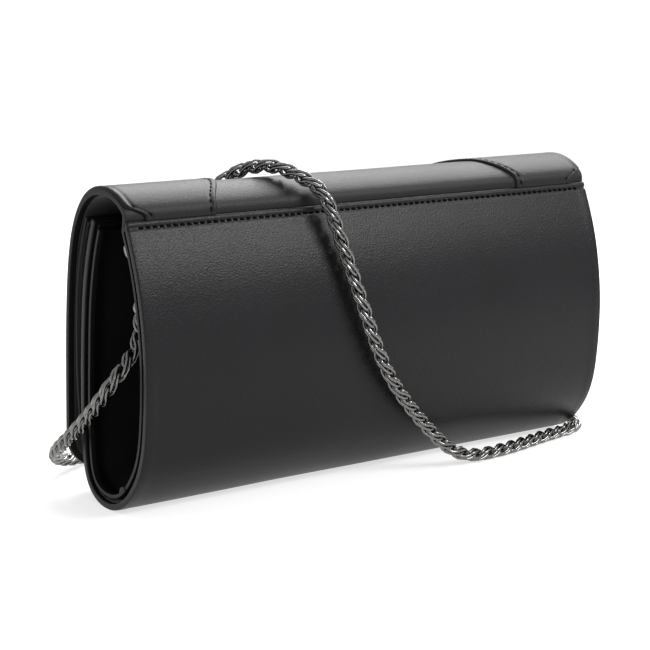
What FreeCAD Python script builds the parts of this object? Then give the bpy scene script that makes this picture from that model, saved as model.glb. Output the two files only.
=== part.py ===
"""Structured clutch evening bag with a fold-over flap and a wheat-link chain strap.

Millimetres. +Z is up, -Y is the front (the flap side), +Y the back, and +X is on the right of
someone who faces the flap. The origin is on the surface that the bag stands on, below the
middle of the bag's box. Names that end in _right are on the +X end, _left on the -X end.
Leather goods are drawn as an end profile in Y and Z that is run along X: each profile starts
so that the inside of the bag is on its left, and each layer is a band between two depths.
"""
import FreeCAD, Part
import math
import os
from FreeCAD import Vector as V

os.makedirs("parts", exist_ok=True)

# ---------------------------------------------------------------- driving dimensions
HALF_WIDTH = 132.5            # the bag is 265 wide
SEAM_HEIGHT = 129.6           # top edge of the back wall
LEATHER = 1.3                 # coated leatherette
BOARD = 1.2                   # stiffener
LINING = 0.5
PLY_GAP = 0.05                # between neighbouring layers
RUN_SHARE = 0.45              # share of the shorter run that an arc takes

# End profile of the outer wrap, from the front wall's top edge, under the bag, to the back seam.
WRAP = [(-7.0, 128.0), (-15.5, 108.0), (-20.0, 66.0), (-21.1, 24.0), (-17.5, 7.5), (-6.5, 0.0),
        (8.5, 0.0), (22.0, 8.5), (33.5, 26.0), (37.0, 54.0), (37.0, 80.0), (31.0, 111.0),
        (22.5, SEAM_HEIGHT)]
# End profile of the flap, from the back seam over the top to the free edge.
FLAP = [(23.3, 131.6), (22.3, 136.0), (14.5, 140.6), (2.5, 142.0), (-9.5, 140.2), (-19.3, 132.6),
        (-26.6, 119.2), (-31.0, 98.0), (-34.0, 62.0), (-35.6, 10.0)]
# End profile of the expanding front pocket's panel, from its top edge to its foot.
POCKET = [(-15.4, 128.2), (-23.2, 110.0), (-27.0, 80.0), (-27.2, 40.0), (-23.2, 21.0)]

HINGE = (22.0, 131.2)         # Y and Z of the line that the flap turns about
FLAP_CORNER = 16.0            # radius of the flap's two free corners
FLAP_EDGE = 10.0              # height of the flap's free edge

GUSSET_DEPTH = 5.2            # from the wrap's outside to the gusset's turned edge
GUSSET_SHEET = 1.6
GUSSET_FOLD = 98.0            # X of the fold line, where the gusset reaches furthest in

ZIP_HEIGHT = 100.0
ZIP_HALF = 70.0
ZIP_PANEL_Y = 23.5            # front face of the inner zip pocket

SNAP_HEIGHT = 44.0
SNAP_RADIUS = 7.0

RING_X, RING_Y, RING_Z = 121.0, 13.5, 117.5     # middle of a strap ring's straight bar
RING_RADIUS = 6.5
RING_WIRE = 1.1

CHAIN = 6.6                   # diameter over the links
CHAIN_GAP = 0.1               # between two stretches of the chain


# ---------------------------------------------------------------- helpers
def save(name, shape):
    shape.exportStep("parts/" + name + ".step")


def turn_angle(a, b, c):
    return (b - a).getAngle(c - b)


def arc_radius(a, b, c):
    """Radius of the arc at b: the arc takes its share of the shorter run."""
    run = min((b - a).Length, (c - b).Length)
    return RUN_SHARE * run / math.tan(turn_angle(a, b, c) / 2)


def rounded_edges(corners, radii):
    """Straight runs joined by tangent arcs, as a list of edges."""
    edges = []
    start = corners[0]
    for a, b, c, radius in zip(corners, corners[1:], corners[2:], radii):
        turn = turn_angle(a, b, c)
        back = radius * math.tan(turn / 2)
        enter = b + (a - b).normalize() * back
        leave = b + (c - b).normalize() * back
        middle = (enter + leave) * 0.5 - b
        bulge = radius / math.cos(turn / 2) - radius
        edges.append(Part.makeLine(start, enter))
        edges.append(Part.Arc(enter, b + middle.normalize() * bulge, leave).toShape())
        start = leave
    edges.append(Part.makeLine(start, corners[-1]))
    return edges


def profile_radii(profile):
    points = [V(0, y, z) for y, z in profile]
    return [arc_radius(a, b, c) for a, b, c in zip(points, points[1:], points[2:])]


def profile_edges(profile, depth, x):
    """The profile moved inwards by depth, in the plane at x."""
    points = [V(x, y, z) for y, z in profile]
    runs = [(b - a).normalize() for a, b in zip(points, points[1:])]
    inward = [V(0, -run.z, run.y) for run in runs]
    corners = [points[0] + inward[0] * depth]
    radii = []
    for i, radius in enumerate(profile_radii(profile)):
        n1, n2 = inward[i], inward[i + 1]
        corners.append(points[i + 1] + (n1 + n2) * (depth / (1 + n1.dot(n2))))
        turns_inward = runs[i].cross(runs[i + 1]).x > 0
        radii.append(radius - depth if turns_inward else radius + depth)
    corners.append(points[-1] + inward[-1] * depth)
    return rounded_edges(corners, radii)


def band(profile, depth, thickness, x0, x1):
    """A layer of the given thickness, its outside at the given depth below the profile."""
    outer = profile_edges(profile, depth, x0)
    inner = profile_edges(profile, depth + thickness, x0)
    first = Part.makeLine(inner[0].Vertexes[0].Point, outer[0].Vertexes[0].Point)
    last = Part.makeLine(outer[-1].Vertexes[1].Point, inner[-1].Vertexes[1].Point)
    wire = Part.Wire(Part.__sortEdges__(outer + [last] + inner + [first]))
    return Part.Face(wire).extrude(V(x1 - x0, 0, 0))


def inside_of(profile, depth, x0, x1):
    """Everything within the profile, below a lid across its two ends."""
    edges = profile_edges(profile, depth, x0)
    lid = Part.makeLine(edges[-1].Vertexes[1].Point, edges[0].Vertexes[0].Point)
    return Part.Face(Part.Wire(Part.__sortEdges__(edges + [lid]))).extrude(V(x1 - x0, 0, 0))


def box(x0, x1, y0, y1, z0, z1):
    return Part.makeBox(x1 - x0, y1 - y0, z1 - z0, V(x0, y0, z0))


def prism_along_y(outline, y0, y1):
    """An X, Z outline run from y0 to y1."""
    points = [V(x, y0, z) for x, z in outline]
    return Part.Face(Part.makePolygon(points + points[:1])).extrude(V(0, y1 - y0, 0))


def mirrored(shape, side):
    return shape if side > 0 else shape.mirror(V(0, 0, 0), V(1, 0, 0))


SIDES = {"right": 1, "left": -1}


# ---------------------------------------------------------------- body of the bag
def body():
    """Outer wrap, three stiffener boards, the lining and its two leather facings."""
    w = HALF_WIDTH
    save("body_wrap", band(WRAP, 0, LEATHER, -w, w))

    board_depth = LEATHER + PLY_GAP
    board = band(WRAP, board_depth, BOARD, 4 - w, w - 4)
    fold = 19.0
    save("bottom_board", board.common(box(-w, w, -60, 60, -5, fold)))
    upper = board.common(box(-w, w, -60, 60, fold + 0.6, 125.5))
    save("front_board", upper.common(box(-w, w, -60, 5, 0, 140)))
    save("back_board", upper.common(box(-w, w, 5, 60, 0, 140)))

    lining_depth = board_depth + BOARD + PLY_GAP
    lining = band(WRAP, lining_depth, LINING, 2 - w, w - 2)
    facing_foot = 106.0
    save("body_lining", lining.common(box(-w, w, -60, 60, 0, facing_foot)))
    facing = lining.common(box(-w, w, -60, 60, facing_foot + 0.1, 140))
    save("front_facing", facing.common(box(-w, w, -60, 5, 0, 140)))
    save("back_facing", facing.common(box(-w, w, 5, 60, 0, 140)))


def gussets():
    """End gussets: a turned edge that follows the wrap, and a panel folded inwards."""
    fold_sheet = 1.4
    middle = (WRAP[0][0] + WRAP[-1][0]) / 2
    edge_x = HALF_WIDTH - 1.0
    reach = 27.0
    turned_edge = band(WRAP, GUSSET_DEPTH, GUSSET_SHEET, 104, edge_x)
    seam_allowance = band(WRAP, 3.2, GUSSET_DEPTH - 3.2, 112, 124)
    slope = math.hypot(reach, edge_x - GUSSET_FOLD - 7.0) / reach
    outline = [V(edge_x - 7, middle - reach, 0), V(GUSSET_FOLD, middle, 0),
               V(edge_x - 7, middle + reach, 0)]
    shift = V(fold_sheet * slope, 0, 0)
    corners = outline + [p + shift for p in reversed(outline)]
    folded = Part.Face(Part.makePolygon(corners + corners[:1])).extrude(V(0, 0, 140))
    folded = folded.common(inside_of(WRAP, GUSSET_DEPTH + 0.5, 90, edge_x))
    gusset = turned_edge.fuse([seam_allowance, folded]).removeSplitter()
    for side, sign in SIDES.items():
        save("gusset_" + side, mirrored(gusset, sign))


def front_pocket():
    """The expanding slip pocket between the front wall and the flap."""
    w = HALF_WIDTH - 1.5
    panel = band(POCKET, 0, 1.2, -w, w)
    foot = box(-w, w, -23.0, -20.95, 21.0, 26.0).cut(inside_of(WRAP, -0.1, -w - 1, w + 1))
    panel = panel.fuse(foot).removeSplitter()
    save("front_pocket_panel", panel)
    ends = inside_of(POCKET + [(-19.0, 23.0)], 1.3, w - 1.2, w)
    ends = ends.cut(inside_of(WRAP, -0.3, w - 3, w + 1)).cut(panel)
    ends = max(ends.Solids, key=lambda solid: solid.Volume)
    for side, sign in SIDES.items():
        save("front_pocket_gusset_" + side, mirrored(ends, sign))


def inner_pockets():
    """Zip pocket on the back wall, with its tapes and teeth, and a slip pocket in front."""
    half = 96.0
    y = ZIP_PANEL_Y
    window = box(-ZIP_HALF, ZIP_HALF, y - 1, y + 2, ZIP_HEIGHT - 4.5, ZIP_HEIGHT + 4.5)
    panel = box(-half, half, y, y + 0.8, 28, 110.5)
    panel = panel.fuse(box(-half, half, y, y + 2.9, 106.5, 110.5))
    save("zip_pocket_panel", panel.cut(window).removeSplitter())
    tape_y = y + 0.85
    tapes = [box(-ZIP_HALF - 4, ZIP_HALF + 4, tape_y, tape_y + 0.5, z0, z1)
             for z0, z1 in ((ZIP_HEIGHT - 6, ZIP_HEIGHT - 1.9), (ZIP_HEIGHT + 1.9, ZIP_HEIGHT + 6))]
    save("zip_tapes", Part.makeCompound(tapes))
    pitch = 2.5
    teeth = []
    for i in range(int(2 * (ZIP_HALF - 2) / pitch)):
        x = 2 - ZIP_HALF + i * pitch
        low = ZIP_HEIGHT - (1.0 if i % 2 else 0.6)
        teeth.append(box(x, x + 1.3, tape_y - 0.5, tape_y + 1.0, low, low + 1.6))
    save("zip_teeth", Part.makeCompound(teeth))
    save("slip_pocket_panel", box(-half, half, -11.5, -10.9, 30, 84))


def zip_slider():
    """Slider in its closed place at the left end, with its pull hanging from a small bridge."""
    x = 8 - ZIP_HALF
    y = ZIP_PANEL_Y
    front = box(x, x + 9, y - 1.0, y - 0.2, ZIP_HEIGHT - 3.6, ZIP_HEIGHT + 3.6)
    back = box(x, x + 9, y + 2.4, y + 3.2, ZIP_HEIGHT - 3.6, ZIP_HEIGHT + 3.6)
    post = box(x + 8.0, x + 9, y - 1.0, y + 3.2, ZIP_HEIGHT + 1.1, ZIP_HEIGHT + 1.8)
    lugs = [box(x + 3.2, x + 5.8, y - 3.4, y - 1.0, z, z + 0.9)
            for z in (ZIP_HEIGHT - 2.9, ZIP_HEIGHT + 2.0)]
    pin = Part.makeCylinder(0.5, 4.2, V(x + 4.5, y - 2.5, ZIP_HEIGHT - 2.1))
    save("zip_slider", front.fuse([back, post, pin] + lugs).removeSplitter())
    blade = box(x + 4.5, x + 22, y - 3.1, y - 1.9, ZIP_HEIGHT - 1.6, ZIP_HEIGHT + 1.6)
    knuckle = Part.makeCylinder(1.3, 3.2, V(x + 4.5, y - 2.5, ZIP_HEIGHT - 1.6))
    bore = Part.makeCylinder(0.58, 5, V(x + 4.5, y - 2.5, ZIP_HEIGHT - 2.5))
    save("zip_pull", blade.fuse(knuckle).cut(bore).removeSplitter())


# ---------------------------------------------------------------- flap
def flap_outline(inset):
    """Block that trims a flap layer: straight sides and two rounded free corners."""
    w = HALF_WIDTH - inset
    block = box(-w, w, -60, 60, FLAP_EDGE + inset, 160)
    corners = [edge for edge in block.Edges
               if abs(edge.BoundBox.YLength - 120) < 1 and edge.CenterOfMass.z < 60]
    return block.makeFillet(FLAP_CORNER, corners)


def overlay(outline, side_name, under=None):
    """A strap of leather laid over the flap, crossing it on the slant."""
    strip = band(FLAP, -LEATHER - 0.1, LEATHER, -HALF_WIDTH, HALF_WIDTH)
    strip = strip.common(prism_along_y(outline, -60, 60)).common(flap_outline(0.3))
    strip = strip.cut(box(-HALF_WIDTH, HALF_WIDTH, 0, 60, 100, 134))
    if under:
        strip = strip.cut(prism_along_y(under, -60, 60))
    save("flap_overlay_" + side_name, strip)


def flap():
    """Leather, board and lining of the flap, the two crossing overlays and the hinge fold."""
    w = HALF_WIDTH
    board_depth = LEATHER + PLY_GAP
    lining_depth = board_depth + 0.9 + PLY_GAP
    outer = band(FLAP, 0, LEATHER, -w, w).common(flap_outline(0))
    save("flap_leather", outer)
    board = band(FLAP, board_depth, 0.9, -w, w).common(flap_outline(4))
    board = board.common(box(-w, w, -60, 19, 0, 160))
    snap_hole = Part.makeCylinder(6.2, 30, V(0, -60, SNAP_HEIGHT), V(0, 1, 0))
    save("flap_board", board.cut(snap_hole))
    lining = band(FLAP, lining_depth, LINING, -w, w).common(flap_outline(1.5))
    save("flap_lining", lining.common(box(-w, w, -60, 20.5, 0, 160)))

    waist = 126.0
    slant = 100.0
    upper, lower = 84.0, w
    band_right = [(upper, 145), (upper, waist), (upper - slant, 5), (lower - slant, 5),
                  (lower, waist), (lower, 145)]
    band_left = [(-x, z) for x, z in band_right]
    clear_of_right = [(x - 0.3 if x < upper + 1 else x + 0.3, z) for x, z in band_right]
    overlay(band_right, "right")
    overlay(band_left, "left", under=clear_of_right)

    strip = band(WRAP, 3.35, 1.2, -111, 111)
    save("flap_hinge_strip", strip.common(box(-w, w, 5, 60, 116, 140)))


def magnetic_snap():
    """Socket half on the front pocket, stud half on the flap, each with its washer."""
    z = SNAP_HEIGHT
    back = V(0, 1, 0)
    socket = Part.makeCylinder(SNAP_RADIUS, 2.0, V(0, -29.3, z), back)
    socket = socket.cut(Part.makeCylinder(3.0, 1.3, V(0, -29.3, z), back))
    save("snap_socket", socket)
    save("snap_socket_washer", Part.makeCylinder(5.5, 0.45, V(0, -25.35, z), back))
    stud = Part.makeCylinder(SNAP_RADIUS, 1.4, V(0, -31.35, z), back)
    save("snap_stud", stud.fuse(Part.makeCylinder(2.2, 1.3, V(0, -29.95, z), back)))
    save("snap_stud_washer", Part.makeCylinder(5.5, 0.4, V(0, -32.85, z), back))


# ---------------------------------------------------------------- strap fittings
def torus(major, minor, centre, axis):
    return Part.makeTorus(major, minor, centre, axis)


def strap_fittings():
    """Leather tab, ring, swivel snap hook with its sprung gate, and the chain's eye."""
    x, y, z = RING_X, RING_Y, RING_Z
    along_x = V(1, 0, 0)
    top = 127.5
    tab = box(x - 4, x + 4, y - 0.2, y + 2.0, z, top)
    tab = tab.fuse(Part.makeCylinder(2.5, 8, V(x - 4, y, z), along_x))
    tab = tab.cut(Part.makeCylinder(RING_WIRE + 0.08, 12, V(x - 6, y, z), along_x))

    bar = Part.makeCylinder(RING_WIRE, 2 * RING_RADIUS, V(x - RING_RADIUS, y, z), along_x)
    hoop = torus(RING_RADIUS, RING_WIRE, V(x, y, z), V(0, 1, 0))
    hoop = hoop.common(box(x - 10, x + 10, y - 3, y + 3, z - 12, z))
    elbows = [Part.makeSphere(RING_WIRE, V(x + s * RING_RADIUS, y, z)) for s in (-1, 1)]
    ring = bar.fuse([hoop] + elbows).removeSplitter()

    claw_radius, claw_wire = 4.9, 1.1
    claw_z = z - RING_RADIUS + 2 * RING_WIRE + 0.4 - claw_radius
    centre = V(x, y, claw_z)
    claw = torus(claw_radius, claw_wire, centre, along_x)
    mouth = box(x - 3, x + 3, y - 8, y - 2.6, claw_z - 3.0, claw_z + 2.6)
    barrel_z = claw_z - claw_radius - 7.0
    barrel = Part.makeCylinder(2.1, 7.0, V(x, y, barrel_z))
    post_bore = Part.makeCylinder(1.05, 4.5, V(x, y, barrel_z))
    hook = claw.cut(mouth).fuse(barrel).cut(post_bore)

    gate_centre = V(x, y - 0.1, claw_z)
    gate = torus(claw_radius, 0.8, gate_centre, along_x)
    gate = gate.common(box(x - 3, x + 3, y - 8, y - 3.2, claw_z - 2.7, claw_z + 2.3))
    thumb = Part.makeCylinder(0.7, 2.2, V(x, y - 4.6, claw_z - 0.6), V(0, -1, 0))
    gate = gate.fuse(thumb)

    post = Part.makeCylinder(1.0, 7.0, V(x, y, barrel_z - 3.2))
    eye = torus(2.7, 0.9, V(x, y, barrel_z - 5.8), V(0, 1, 0))
    eye = eye.fuse(post.cut(Part.makeCylinder(1.8, 6, V(x, y + 3, barrel_z - 5.8), V(0, -1, 0))))
    print("claw centre z", round(claw_z, 2), "barrel foot z", round(barrel_z, 2),
          "eye centre z", round(barrel_z - 5.8, 2), "mount of the gate", round(y - 4.1, 2),
          round(claw_z - 2.7, 2))

    pieces = {"strap_tab": tab, "strap_ring": ring, "snap_hook": hook, "hook_gate": gate,
              "chain_eye": eye}
    for side, sign in SIDES.items():
        for name, shape in pieces.items():
            save(name + "_" + side, mirrored(shape, sign))


# ---------------------------------------------------------------- chain strap
FLOOR = CHAIN / 2 + 0.2       # height of the chain's middle where it lies on the surface

# From the right-hand eye, out over the end of the bag and down to the surface, along the front
# and into the turn where the slack that lifts with the flap begins.
RIGHT_STRAND = [(121, 13.5, 87), (121.4, 13.8, 80.5), (124.2, 15, 74.5), (129.3, 16.5, 68.5),
                (134.6, 15.4, 62), (137.6, 10.5, 54.5), (138.4, 2.5, 46.5), (138.4, -7, 39),
                (138.2, -17.5, 31.5), (137.4, -29, 24.5), (134.8, -40.5, 18), (129.5, -52, 12),
                (120.5, -62.5, 7), (108, -70.5, 4), (92.5, -77.5, FLOOR), (74, -85.5, FLOOR),
                (54, -92.5, FLOOR), (34, -98, FLOOR), (14, -102.5, FLOOR), (-5, -106, FLOOR),
                (-20, -106, FLOOR), (-30.2, -100.6, FLOOR), (-36.6, -91.1, FLOOR),
                (-37.8, -79.6, FLOOR)]
FRONT_SLACK = [(-37.8, -79.6, FLOOR), (-38.8, -67.6, FLOOR), (-34.4, -56.4, FLOOR),
               (-24.6, -49.4, FLOOR), (-12.2, -48.3, FLOOR), (-0.4, -52.4, FLOOR),
               (10.5, -58.6, FLOOR), (23, -63.4, FLOOR), (36, -63, FLOOR),
               (46.5, -58.6, FLOOR + 0.2), (55.8, -53, 4.6), (64.7, -47.4, 7), (72.2, -43.7, 12.4),
               (77.25, -41.85, 20.5), (79.2, -41.4, 31)]
FLAP_RUN = [(79.2, -41.4, 31), (80.7, -41.05, 39.1), (80.8, -40.8, 49), (80, -40.6, 60),
            (78.8, -39.8, 76), (76.8, -38.4, 93), (73.2, -35.8, 108.5), (67.4, -31.3, 121.9),
            (60.4, -23.6, 134.2), (53.6, -12.6, 143.3), (47.8, 0.4, 146.9), (43.2, 11.0, 145.8),
            (39.4, 19.1, 142.2)]
HINGE_FOLD = [(39.4, 19.1, 142.2), (36, 26, 139), (33.4, 30.9, 132), (31.6, 33, 123.5)]
BACK_RUN = [(31.6, 33, 123.5), (29.5, 35.7, 113.9), (26.6, 38.5, 102), (23.2, 40.8, 89.5),
            (19, 42.1, 76.5), (14, 42.4, 64), (7.6, 42, 52), (-0.5, 40.9, 41.5), (-9.5, 39.7, 31.5),
            (-19, 38.5, 22.2), (-28.5, 37.6, 13.6), (-38.5, 37.1, 6.6), (-50, 37.2, FLOOR),
            (-63, 37, FLOOR), (-77, 35, FLOOR), (-91, 31.8, FLOOR), (-104, 28.5, FLOOR),
            (-116, 26.5, FLOOR)]
LEFT_STRAND = [(-116, 26.5, FLOOR), (-128, 24.5, FLOOR), (-136.8, 17.9, FLOOR),
               (-141.5, 7.9, FLOOR), (-142.6, -3.5, FLOOR), (-143, -17, FLOOR),
               (-144.5, -33, FLOOR), (-146, -50, FLOOR), (-146.3, -66.5, FLOOR),
               (-143.2, -78.5, FLOOR), (-134.7, -87.2, FLOOR), (-123, -90.3, FLOOR),
               (-111.3, -87.2, FLOOR), (-102.8, -78.6, FLOOR), (-99.7, -66.9, FLOOR),
               (-103, -55.4, FLOOR), (-111.4, -47.2, FLOOR + 0.6), (-122, -42.6, 6.3),
               (-131.8, -37.6, 10.4), (-138, -29.2, 17), (-140, -18.4, 25.4), (-139.8, -7.2, 34.6),
               (-139.2, 3.8, 44.2), (-136.4, 12, 54.4), (-130.8, 15.6, 64.4), (-125, 15.4, 73),
               (-121.5, 14, 80.8), (-121, 13.5, 87)]


def chain_tube(name, route, trimmed_ends=()):
    """The plain round body of one stretch of chain, with its radii and volume printed."""
    corners = [V(*point) for point in route]
    radii = [arc_radius(a, b, c) for a, b, c in zip(corners, corners[1:], corners[2:])]
    path = Part.Wire(rounded_edges(corners, radii))
    heading = corners[1] - corners[0]
    ring = Part.Wire(Part.Circle(corners[0], heading, CHAIN / 2).toShape())
    tube = path.makePipeShell([ring], True, False)
    ratio = tube.Volume / (math.pi * CHAIN ** 2 / 4 * path.Length)
    print(name, "length", round(path.Length, 1), "volume ratio", round(ratio, 4),
          "smallest radius", round(min(radii), 1), "radii", [round(r) for r in radii])
    for route_end, inward in trimmed_ends:
        tube = tube.cut(end_slice(route_end, inward))
    save(name, tube)
    return path.Length


def end_slice(place, inward):
    """A thin disc over the end of a stretch, so that it stands just clear of the next one."""
    return Part.makeCylinder(CHAIN, CHAIN_GAP, V(*place), V(*inward) - V(*place))


def chain():
    total = chain_tube("chain_right_strand", RIGHT_STRAND)
    total += chain_tube("chain_front_slack", FRONT_SLACK,
                        [(FRONT_SLACK[0], FRONT_SLACK[1]), (FRONT_SLACK[-1], FRONT_SLACK[-2])])
    total += chain_tube("chain_flap_run", FLAP_RUN)
    total += chain_tube("chain_hinge_fold", HINGE_FOLD,
                        [(HINGE_FOLD[0], HINGE_FOLD[1]), (HINGE_FOLD[-1], HINGE_FOLD[-2])])
    total += chain_tube("chain_back_run", BACK_RUN)
    total += chain_tube("chain_left_strand", LEFT_STRAND)
    print("whole chain", round(total))


body()
gussets()
front_pocket()
inner_pockets()
zip_slider()
flap()
magnetic_snap()
strap_fittings()
chain()
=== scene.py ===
"""Looks of the clutch evening bag: leather, lining, metal and the wheat-link chain, in metres.

The bag stands in its own frame: -Y is the front (the flap), +Y the back, +X the right of
someone who faces the flap. The camera looks at the back and the +X end.
"""
import bisect
import math
import random

import bmesh
import bpy
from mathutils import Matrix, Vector, noise


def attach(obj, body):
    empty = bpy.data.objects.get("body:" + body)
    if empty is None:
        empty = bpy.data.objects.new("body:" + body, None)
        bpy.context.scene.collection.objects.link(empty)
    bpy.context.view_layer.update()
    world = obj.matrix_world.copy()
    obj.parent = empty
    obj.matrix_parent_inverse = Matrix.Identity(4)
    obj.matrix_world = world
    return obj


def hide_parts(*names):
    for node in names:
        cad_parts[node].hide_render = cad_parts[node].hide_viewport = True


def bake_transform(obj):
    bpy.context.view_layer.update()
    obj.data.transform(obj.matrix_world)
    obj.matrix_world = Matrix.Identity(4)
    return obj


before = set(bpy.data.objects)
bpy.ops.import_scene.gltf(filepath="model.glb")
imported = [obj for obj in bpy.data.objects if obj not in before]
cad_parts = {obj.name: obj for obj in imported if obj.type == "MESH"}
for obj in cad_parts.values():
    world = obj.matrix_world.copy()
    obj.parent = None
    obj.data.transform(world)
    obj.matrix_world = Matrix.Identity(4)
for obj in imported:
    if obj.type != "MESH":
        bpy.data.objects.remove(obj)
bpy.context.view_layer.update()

MM = 0.001
HALF_WIDTH = 132.5            # millimetres, as are the sizes below unless they say otherwise
BACK_SEAM_STITCH = 3.1        # from the back wall's top edge to its stitching
STITCH_PITCH = 3.4
CHAIN = 6.6                   # diameter over the links
LINK_PITCH = 4.2              # from one link to the next

WRAP = [(-7.0, 128.0), (-15.5, 108.0), (-20.0, 66.0), (-21.1, 24.0), (-17.5, 7.5), (-6.5, 0.0),
        (8.5, 0.0), (22.0, 8.5), (33.5, 26.0), (37.0, 54.0), (37.0, 80.0), (31.0, 111.0),
        (22.5, 129.6)]
FLAP_LOOK = [(20.9, 125.0), (22.3, 131.0), (20.5, 135.3), (12.0, 140.2), (2.5, 142.0),
             (-9.5, 140.2), (-19.3, 132.6), (-26.6, 119.2), (-31.0, 98.0), (-34.0, 62.0),
             (-35.6, 10.0)]
POCKET = [(-15.4, 128.2), (-23.2, 110.0), (-27.0, 80.0), (-27.2, 40.0), (-23.2, 21.0)]
ZIP_PANEL_Y = 23.5

CAMERA_PLACE = (0.5152, 0.6804, 0.2285)
CAMERA_YAW = math.radians(36.46)      # from a square look at the back, towards the +X end
CAMERA_PITCH = math.radians(10.68)
CAMERA_LENS = 100.9

scene = bpy.context.scene


# ------------------------------------------------------------------ camera
def make_camera():
    """The viewing angle: from the back, a little above, the +X end nearest."""
    level = math.cos(CAMERA_PITCH)
    forward = Vector((-math.sin(CAMERA_YAW) * level, -math.cos(CAMERA_YAW) * level,
                      -math.sin(CAMERA_PITCH)))
    data = bpy.data.cameras.new("camera")
    data.sensor_width = 36.0
    data.lens = CAMERA_LENS
    camera = bpy.data.objects.new("camera", data)
    camera.location = CAMERA_PLACE
    camera.rotation_euler = forward.to_track_quat("-Z", "Y").to_euler()
    scene.collection.objects.link(camera)
    scene.camera = camera


make_camera()


# ------------------------------------------------------------------ node helpers
class Nodes:
    """Short calls for building one material's node tree."""

    def __init__(self, name):
        self.material = bpy.data.materials.new(name)
        self.material.use_nodes = True
        self.tree = self.material.node_tree
        self.shader = self.tree.nodes["Principled BSDF"]
        self.place = self.tree.nodes.new("ShaderNodeTexCoord").outputs["Object"]

    def new(self, kind, **settings):
        node = self.tree.nodes.new(kind)
        for key, value in settings.items():
            if hasattr(node, key) and key not in node.inputs:
                setattr(node, key, value)
            else:
                node.inputs[key].default_value = value
        return node

    def link(self, output, target):
        self.tree.links.new(output, target)

    def noise(self, scale, detail=3.0, rough=0.5, vector=None):
        node = self.new("ShaderNodeTexNoise", Scale=scale, Detail=detail, Roughness=rough)
        self.link(vector or self.place, node.inputs["Vector"])
        return node.outputs["Fac"]

    def cells(self, scale, feature="SMOOTH_F1", vector=None):
        node = self.new("ShaderNodeTexVoronoi", feature=feature, Scale=scale)
        self.link(vector or self.place, node.inputs["Vector"])
        return node.outputs["Distance"]

    def mix(self, factor, low, high):
        """A value between low and high, by a factor."""
        node = self.new("ShaderNodeMapRange")
        node.inputs["To Min"].default_value = low
        node.inputs["To Max"].default_value = high
        self.link(factor, node.inputs["Value"])
        return node.outputs["Result"]

    def ramp(self, factor, stops):
        node = self.new("ShaderNodeValToRGB")
        ramp = node.color_ramp
        while len(ramp.elements) < len(stops):
            ramp.elements.new(0.5)
        for element, (place, colour) in zip(ramp.elements, stops):
            element.position = place
            element.color = (*colour, 1.0)
        self.link(factor, node.inputs["Fac"])
        return node.outputs["Color"]

    def math(self, operation, a, b=0.0):
        node = self.new("ShaderNodeMath", operation=operation)
        for socket, value in zip(node.inputs, (a, b)):
            if isinstance(value, (int, float)):
                socket.default_value = value
            else:
                self.link(value, socket)
        return node.outputs[0]

    def bump(self, height, strength, distance):
        node = self.new("ShaderNodeBump", Strength=strength, Distance=distance)
        self.link(height, node.inputs["Height"])
        return node.outputs["Normal"]

    def finish(self, colour=None, rough=None, normal=None, **constants):
        """Links what varies to the shader and sets the rest; returns the material."""
        for name, source in (("Base Color", colour), ("Roughness", rough), ("Normal", normal)):
            if source is not None:
                self.link(source, self.shader.inputs[name])
        for name, value in constants.items():
            self.shader.inputs[name.replace("_", " ")].default_value = value
        return self.material


# ------------------------------------------------------------------ mesh helpers
def add_object(name, mesh, material, body="root"):
    """A smooth-shaded piece; without a body it is left unattached."""
    piece = bpy.data.objects.new(name, mesh)
    scene.collection.objects.link(piece)
    piece.data.materials.append(material)
    for polygon in mesh.polygons:
        polygon.use_smooth = True
    if body:
        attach(piece, body)
    return piece


def make_mesh(name, points, faces):
    """Points are in millimetres."""
    mesh = bpy.data.meshes.new(name)
    mesh.from_pydata([Vector(p) * MM for p in points], [], faces)
    mesh.validate()
    mesh.update()
    return mesh


# ------------------------------------------------------------------ the chain
FLOOR = CHAIN / 2 + 0.2       # height of the chain's middle where it lies on the surface

RIGHT_STRAND = [(121, 13.5, 87), (121.4, 13.8, 80.5), (124.2, 15, 74.5), (129.3, 16.5, 68.5),
                (134.6, 15.4, 62), (137.6, 10.5, 54.5), (138.4, 2.5, 46.5), (138.4, -7, 39),
                (138.2, -17.5, 31.5), (137.4, -29, 24.5), (134.8, -40.5, 18), (129.5, -52, 12),
                (120.5, -62.5, 7), (108, -70.5, 4), (92.5, -77.5, FLOOR), (74, -85.5, FLOOR),
                (54, -92.5, FLOOR), (34, -98, FLOOR), (14, -102.5, FLOOR), (-5, -106, FLOOR),
                (-20, -106, FLOOR), (-30.2, -100.6, FLOOR), (-36.6, -91.1, FLOOR),
                (-37.8, -79.6, FLOOR)]
FRONT_SLACK = [(-37.8, -79.6, FLOOR), (-38.8, -67.6, FLOOR), (-34.4, -56.4, FLOOR),
               (-24.6, -49.4, FLOOR), (-12.2, -48.3, FLOOR), (-0.4, -52.4, FLOOR),
               (10.5, -58.6, FLOOR), (23, -63.4, FLOOR), (36, -63, FLOOR),
               (46.5, -58.6, FLOOR + 0.2), (55.8, -53, 4.6), (64.7, -47.4, 7), (72.2, -43.7, 12.4),
               (77.25, -41.85, 20.5), (79.2, -41.4, 31)]
FLAP_RUN = [(79.2, -41.4, 31), (80.7, -41.05, 39.1), (80.8, -40.8, 49), (80, -40.6, 60),
            (78.8, -39.8, 76), (76.8, -38.4, 93), (73.2, -35.8, 108.5), (67.4, -31.3, 121.9),
            (60.4, -23.6, 134.2), (53.6, -12.6, 143.3), (47.8, 0.4, 146.9), (43.2, 11.0, 145.8),
            (39.4, 19.1, 142.2)]
HINGE_FOLD = [(39.4, 19.1, 142.2), (36, 26, 139), (33.4, 30.9, 132), (31.6, 33, 123.5)]
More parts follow.
